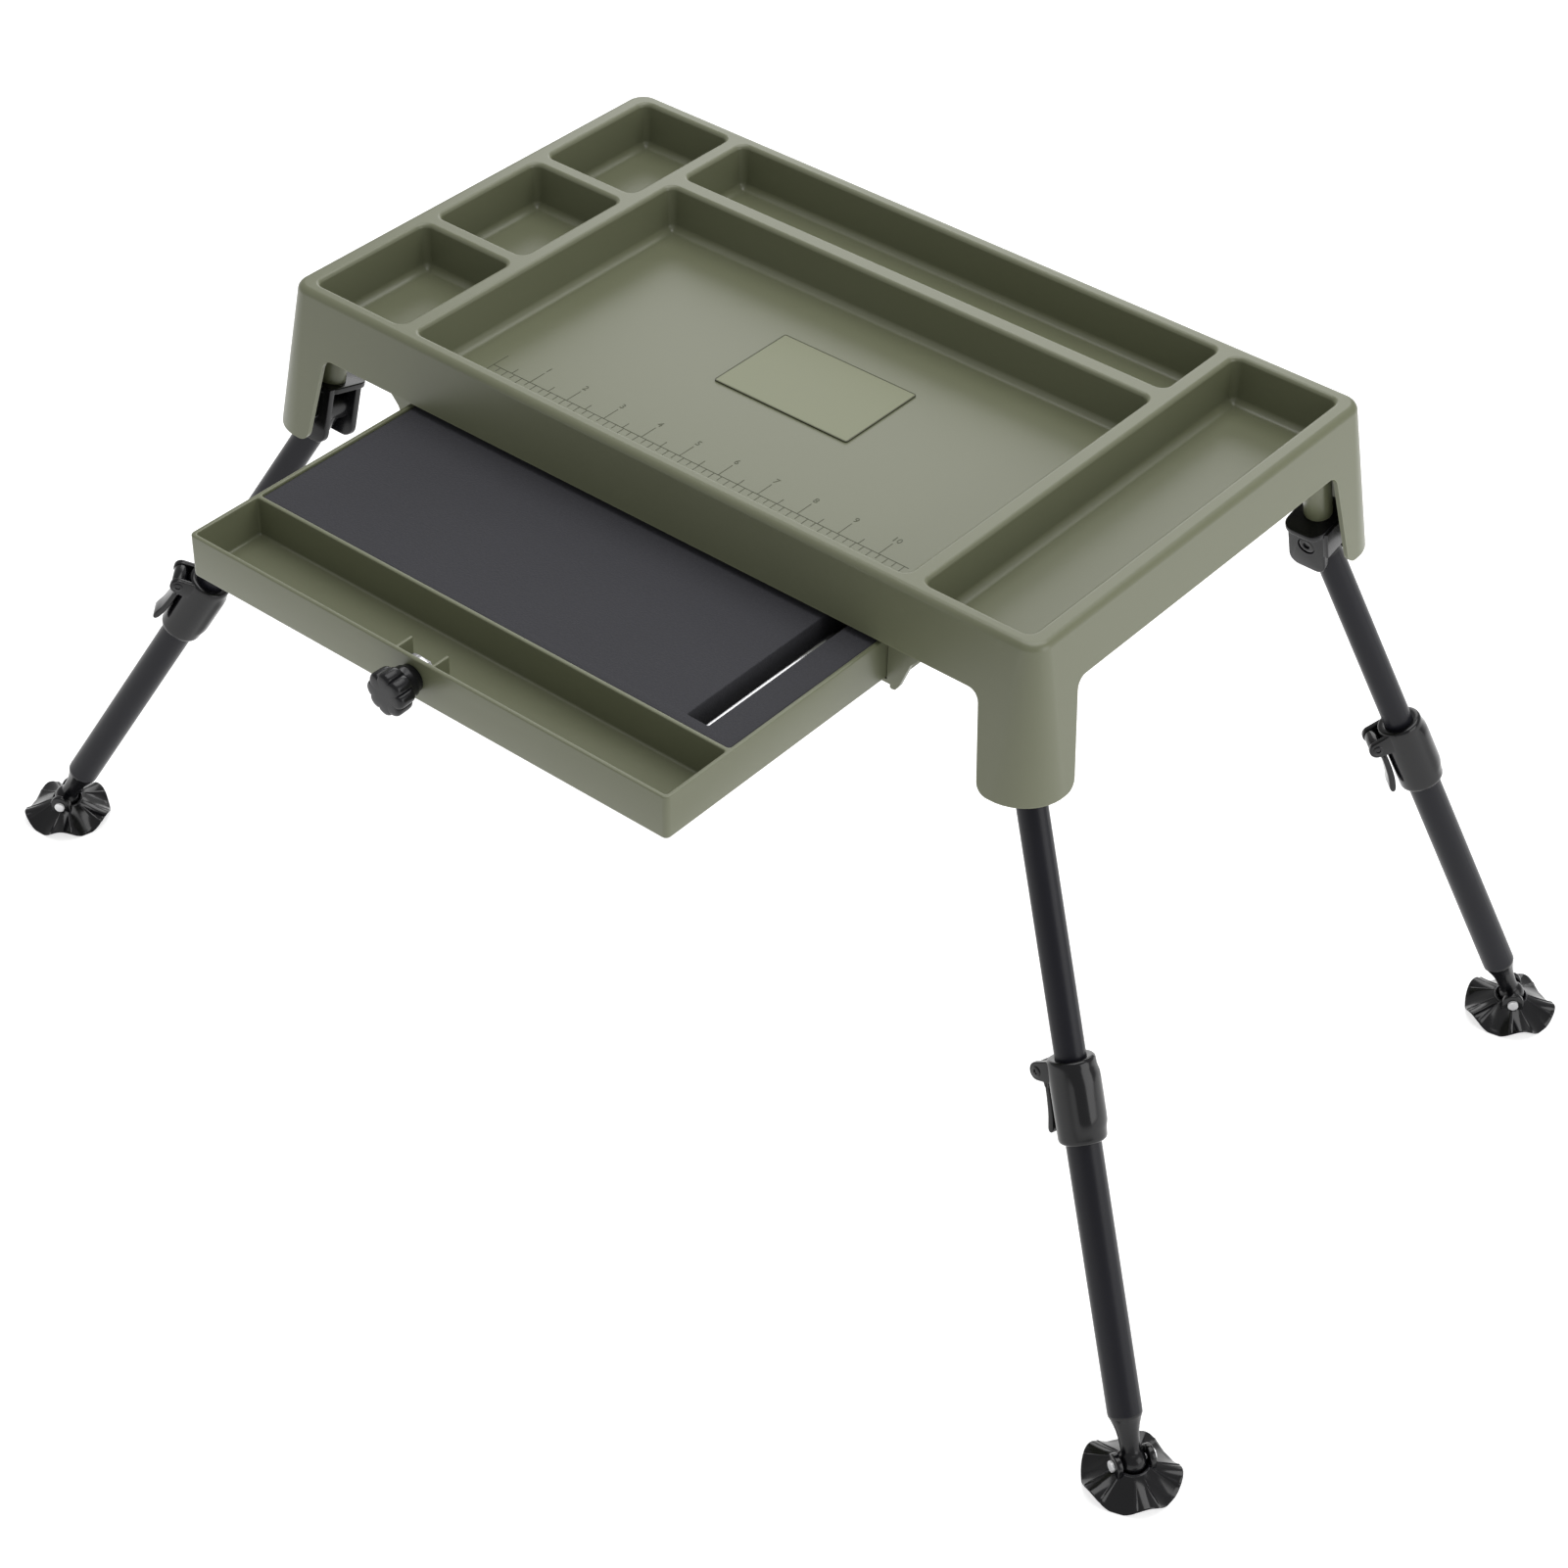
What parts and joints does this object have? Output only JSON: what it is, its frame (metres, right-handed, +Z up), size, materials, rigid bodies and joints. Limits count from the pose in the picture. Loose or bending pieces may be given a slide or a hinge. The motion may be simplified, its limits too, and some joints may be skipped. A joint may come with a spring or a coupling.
{
  "type": "folding field table",
  "caption": "Low folding angling table: moulded olive tray with divided pockets, foam-lined drawer with star knob, and telescopic legs with cam clamps and swivelling mud feet.",
  "frame": {"origin": "on the ground, below the middle of the table's outline with the drawer out", "axes": "+X to the table's right, +Y to its back, away from the drawer, +Z up"},
  "size_m": [0.8248, 0.5442, 0.4],
  "materials": {
    "olive_plastic": "fine satin moulding",
    "label": "satin",
    "foam": "closed cell foam",
    "steel": "plated",
    "tube": "black satin anodised",
    "black_plastic": "black nylon"
  },
  "bodies": {
    "table": {"tray": "olive_plastic", "label_plate": "label", "bracket_screws": "steel", "bracket_fl": "black_plastic", "hinge_pin_fl": "steel", "bracket_fr": "black_plastic", "hinge_pin_fr": "steel", "bracket_rl": "black_plastic", "hinge_pin_rl": "steel", "bracket_rr": "black_plastic", "hinge_pin_rr": "steel"},
    "drawer": {"drawer": "olive_plastic", "foam_pad": "foam", "steel_rod": "steel", "knob_washer": "steel"},
    "knob": {"knob": "black_plastic", "knob_bolt": "steel", "knob_nut": "steel"},
    "leg_fl_upper": {"knuckle_fl": "black_plastic", "upper_tube_fl": "tube"},
    "leg_fl_lower": {"collar_fl": "black_plastic", "lower_tube_fl": "tube", "lever_pin_fl": "steel"},
    "lever_fl": {"lever_fl_arm": "black_plastic"},
    "stud_fl": {"ball_stud_fl": "black_plastic"},
    "foot_fl_cup": {"foot_fl": "black_plastic", "foot_screw_fl": "steel"},
    "leg_fr_upper": {"knuckle_fr": "black_plastic", "upper_tube_fr": "tube"},
    "leg_fr_lower": {"collar_fr": "black_plastic", "lower_tube_fr": "tube", "lever_pin_fr": "steel"},
    "lever_fr": {"lever_fr_arm": "black_plastic"},
    "stud_fr": {"ball_stud_fr": "black_plastic"},
    "foot_fr_cup": {"foot_fr": "black_plastic", "foot_screw_fr": "steel"},
    "leg_rl_upper": {"knuckle_rl": "black_plastic", "upper_tube_rl": "tube"},
    "leg_rl_lower": {"collar_rl": "black_plastic", "lower_tube_rl": "tube", "lever_pin_rl": "steel"},
    "lever_rl": {"lever_rl_arm": "black_plastic"},
    "stud_rl": {"ball_stud_rl": "black_plastic"},
    "foot_rl_cup": {"foot_rl": "black_plastic", "foot_screw_rl": "steel"},
    "leg_rr_upper": {"knuckle_rr": "black_plastic", "upper_tube_rr": "tube"},
    "leg_rr_lower": {"collar_rr": "black_plastic", "lower_tube_rr": "tube", "lever_pin_rr": "steel"},
    "lever_rr": {"lever_rr_arm": "black_plastic"},
    "stud_rr": {"ball_stud_rr": "black_plastic"},
    "foot_rr_cup": {"foot_rr": "black_plastic", "foot_screw_rr": "steel"}
  },
  "joints": [
    {"name": "drawer_slide", "type": "slide", "parent": "table", "child": "drawer", "axis": [0, 1, 0], "range_m": [0, 0.1555]},
    {"name": "knob_spin", "type": "hinge", "parent": "drawer", "child": "knob", "pos_m": [0.00413, -0.25256, 0.3525], "axis": [0, 1, 0], "continuous": true},
    {"name": "fold_fl", "type": "hinge", "parent": "table", "child": "leg_fl_upper", "pos_m": [-0.22437, -0.08506, 0.322], "axis": [0, -0.9659, 0.2588], "range_deg": [0, 114.2]},
    {"name": "telescope_fl", "type": "slide", "parent": "leg_fl_upper", "child": "leg_fl_lower", "axis": [0.4602, 0.2298, 0.8576], "range_m": [-0.0133, 0.1167]},
    {"name": "clamp_fl", "type": "hinge", "parent": "leg_fl_lower", "child": "lever_fl", "pos_m": [-0.30718, -0.13067, 0.19472], "axis": [-0.6167, 0.7776, 0.1226], "range_deg": [0, 80]},
    {"name": "stud_spin_fl", "type": "hinge", "parent": "leg_fl_lower", "child": "stud_fl", "pos_m": [-0.38992, -0.16772, 0.0135], "axis": [-0.4602, -0.2298, -0.8576], "continuous": true},
    {"name": "tilt_fl", "type": "hinge", "parent": "stud_fl", "child": "foot_fl_cup", "pos_m": [-0.38992, -0.16772, 0.0135], "axis": [0.4467, -0.8947, 0], "range_deg": [-76, 14]},
    {"name": "fold_fr", "type": "hinge", "parent": "table", "child": "leg_fr_upper", "pos_m": [0.23963, -0.08506, 0.322], "axis": [0, 0.9659, -0.2588], "range_deg": [0, 97]},
    {"name": "telescope_fr", "type": "slide", "parent": "leg_fr_upper", "child": "leg_fr_lower", "axis": [-0.4258, 0.2342, 0.874], "range_m": [-0.02, 0.11]},
    {"name": "clamp_fr", "type": "hinge", "parent": "leg_fr_lower", "child": "lever_fr", "pos_m": [0.28975, -0.11892, 0.18275], "axis": [0.1881, 0.9677, -0.1677], "range_deg": [0, 80]},
    {"name": "stud_spin_fr", "type": "hinge", "parent": "leg_fr_lower", "child": "stud_fr", "pos_m": [0.38992, -0.16772, 0.0135], "axis": [0.4258, -0.2342, -0.874], "continuous": true},
    {"name": "tilt_fr", "type": "hinge", "parent": "stud_fr", "child": "foot_fr_cup", "pos_m": [0.38992, -0.16772, 0.0135], "axis": [0.4819, 0.8762, 0], "range_deg": [-74.1, 15.9]},
    {"name": "fold_rl", "type": "hinge", "parent": "table", "child": "leg_rl_upper", "pos_m": [-0.22437, 0.16694, 0.322], "axis": [0, -0.9659, -0.2588], "range_deg": [0, 110.8]},
    {"name": "telescope_rl", "type": "slide", "parent": "leg_rl_upper", "child": "leg_rl_lower", "axis": [0.4067, -0.2364, 0.8824], "range_m": [-0.0234, 0.1066]},
    {"name": "clamp_rl", "type": "hinge", "parent": "leg_rl_lower", "child": "lever_rl", "pos_m": [-0.27501, 0.19109, 0.18454], "axis": [-0.6998, -0.7015, 0.1346], "range_deg": [0, 80]},
    {"name": "stud_spin_rl", "type": "hinge", "parent": "leg_rl_lower", "child": "stud_rl", "pos_m": [-0.36657, 0.24961, 0.0135], "axis": [-0.4067, 0.2364, -0.8824], "continuous": true},
    {"name": "tilt_rl", "type": "hinge", "parent": "stud_rl", "child": "foot_rl_cup", "pos_m": [-0.36657, 0.24961, 0.0135], "axis": [-0.5026, -0.8645, 0], "range_deg": [-73.1, 16.9]},
    {"name": "fold_rr", "type": "hinge", "parent": "table", "child": "leg_rr_upper", "pos_m": [0.23963, 0.16694, 0.322], "axis": [0, 0.9659, 0.2588], "range_deg": [0, 92]},
    {"name": "telescope_rr", "type": "slide", "parent": "leg_rr_upper", "child": "leg_rr_lower", "axis": [-0.3453, -0.2429, 0.9065], "range_m": [-0.0327, 0.0973]},
    {"name": "clamp_rr", "type": "hinge", "parent": "leg_rr_lower", "child": "lever_rr", "pos_m": [0.27774, 0.18962, 0.19001], "axis": [-0.7189, 0.6893, -0.0891], "range_deg": [0, 80]},
    {"name": "stud_spin_rr", "type": "hinge", "parent": "leg_rr_lower", "child": "stud_rr", "pos_m": [0.35714, 0.24961, 0.0135], "axis": [0.3453, 0.2429, -0.9065], "continuous": true},
    {"name": "tilt_rr", "type": "hinge", "parent": "stud_rr", "child": "foot_rr_cup", "pos_m": [0.35714, 0.24961, 0.0135], "axis": [-0.5754, 0.8179, 0], "range_deg": [-70, 20]}
  ]
}
